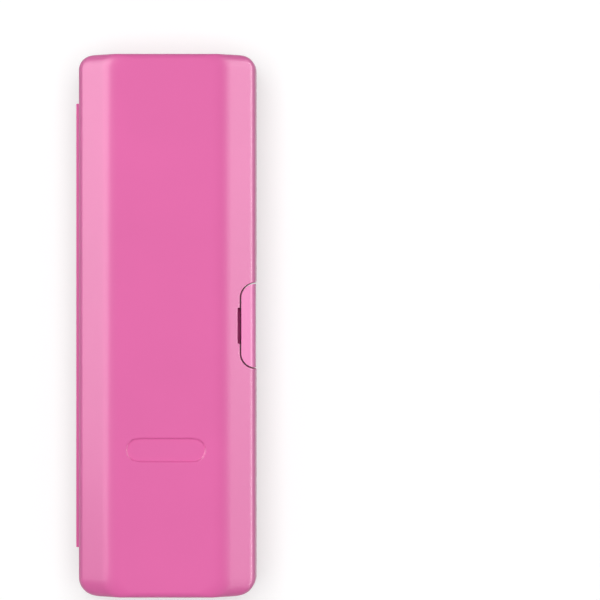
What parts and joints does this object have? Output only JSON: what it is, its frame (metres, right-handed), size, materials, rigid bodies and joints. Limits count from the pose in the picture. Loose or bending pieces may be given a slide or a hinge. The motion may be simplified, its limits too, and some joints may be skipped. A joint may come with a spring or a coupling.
{
  "type": "toothbrush travel case",
  "caption": "Hinged two-half travel case with a side clasp, ribbed inside to hold a rechargeable toothbrush handle and spare brush heads, shown with them in place",
  "frame": {"origin": "middle of the flat back face that the closed case rests on", "axes": "+X from the spine to the clasp, +Y along the length towards the brush's tip, +Z out of the front face"},
  "size_m": [0.0691, 0.206, 0.0383],
  "materials": {
    "case_plastic": "satin pink moulded plastic",
    "lid_plastic": "satin pink moulded plastic",
    "spine_plastic": "light pink bendable plastic",
    "clasp_plastic": "light pink moulded plastic",
    "cradle_plastic": "deep pink moulded ribs",
    "white_plastic": "white gloss",
    "black_rubber": "soft black grip",
    "button_rubber": "soft black, smooth",
    "lamp_plastic": "clear lens, lamp off",
    "seal_rubber": "dark seal ring",
    "copper": "lacquered winding",
    "chassis_plastic": "grey moulded frame",
    "battery_sleeve": "shrink sleeve",
    "brass": "plain",
    "steel": "fine turned",
    "board_green": "solder mask",
    "head_plastic": "white gloss",
    "orange_plastic": "colour ring",
    "blue_plastic": "colour ring",
    "nylon": "nylon strands"
  },
  "bodies": {
    "base": {"base_shell": "case_plastic", "handle_cradle": "cradle_plastic", "handle_housing": "white_plastic", "grip_sleeve": "black_rubber", "button_bezel": "white_plastic", "base_cap": "white_plastic", "foot_seal": "seal_rubber", "charging_coil": "copper", "chassis": "chassis_plastic", "battery": "battery_sleeve", "contact_low": "brass", "contact_high": "brass", "motor": "steel", "shaft_bush": "brass", "shaft_nose": "steel", "circuit_board": "board_green"},
    "spine": {"spine_strip": "spine_plastic"},
    "lid": {"lid_shell": "lid_plastic", "head_cradle": "cradle_plastic", "upper_head_body": "head_plastic", "upper_head_ring": "orange_plastic", "lower_head_body": "head_plastic", "lower_head_ring": "blue_plastic"},
    "clasp_flap": {"clasp": "clasp_plastic"},
    "button": {"power_button": "button_rubber", "charge_lamp": "lamp_plastic"},
    "shaft": {"drive_shaft": "steel"},
    "upper_disc": {"upper_head_disc": "head_plastic", "upper_bristles": "nylon"},
    "lower_disc": {"lower_head_disc": "head_plastic", "lower_bristles": "nylon"}
  },
  "joints": [
    {"name": "spine_fold", "type": "hinge", "parent": "base", "child": "spine", "pos_m": [-0.0347, 0, 0.01745], "axis": [0, -1, 0], "range_deg": [0, 90]},
    {"name": "lid_fold", "type": "hinge", "parent": "spine", "child": "lid", "pos_m": [-0.0347, 0, 0.02085], "axis": [0, -1, 0], "range_deg": [0, 90]},
    {"name": "clasp_fold", "type": "hinge", "parent": "base", "child": "clasp_flap", "pos_m": [0.0287, 0, 0.0085], "axis": [0, 1, 0], "range_deg": [0, 90]},
    {"name": "button_press", "type": "slide", "parent": "base", "child": "button", "axis": [0, 0, -1], "range_m": [0, 0.0006], "stiffness_N_per_m": 1500},
    {"name": "shaft_swing", "type": "hinge", "parent": "base", "child": "shaft", "pos_m": [-0.004, 0.071, 0.0179], "axis": [0, 1, 0], "range_deg": [-15, 15]},
    {"name": "upper_disc_swing", "type": "hinge", "parent": "lid", "child": "upper_disc", "pos_m": [0.0191, 0.0829, 0.0254], "axis": [0, 0, 1], "range_deg": [-25, 25]},
    {"name": "lower_disc_swing", "type": "hinge", "parent": "lid", "child": "lower_disc", "pos_m": [0.0191, -0.0215, 0.0254], "axis": [0, 0, 1], "range_deg": [-25, 25]}
  ],
  "couplings": [
    {"joint": "spine_fold", "follows": "lid_fold", "ratio": 1}
  ]
}
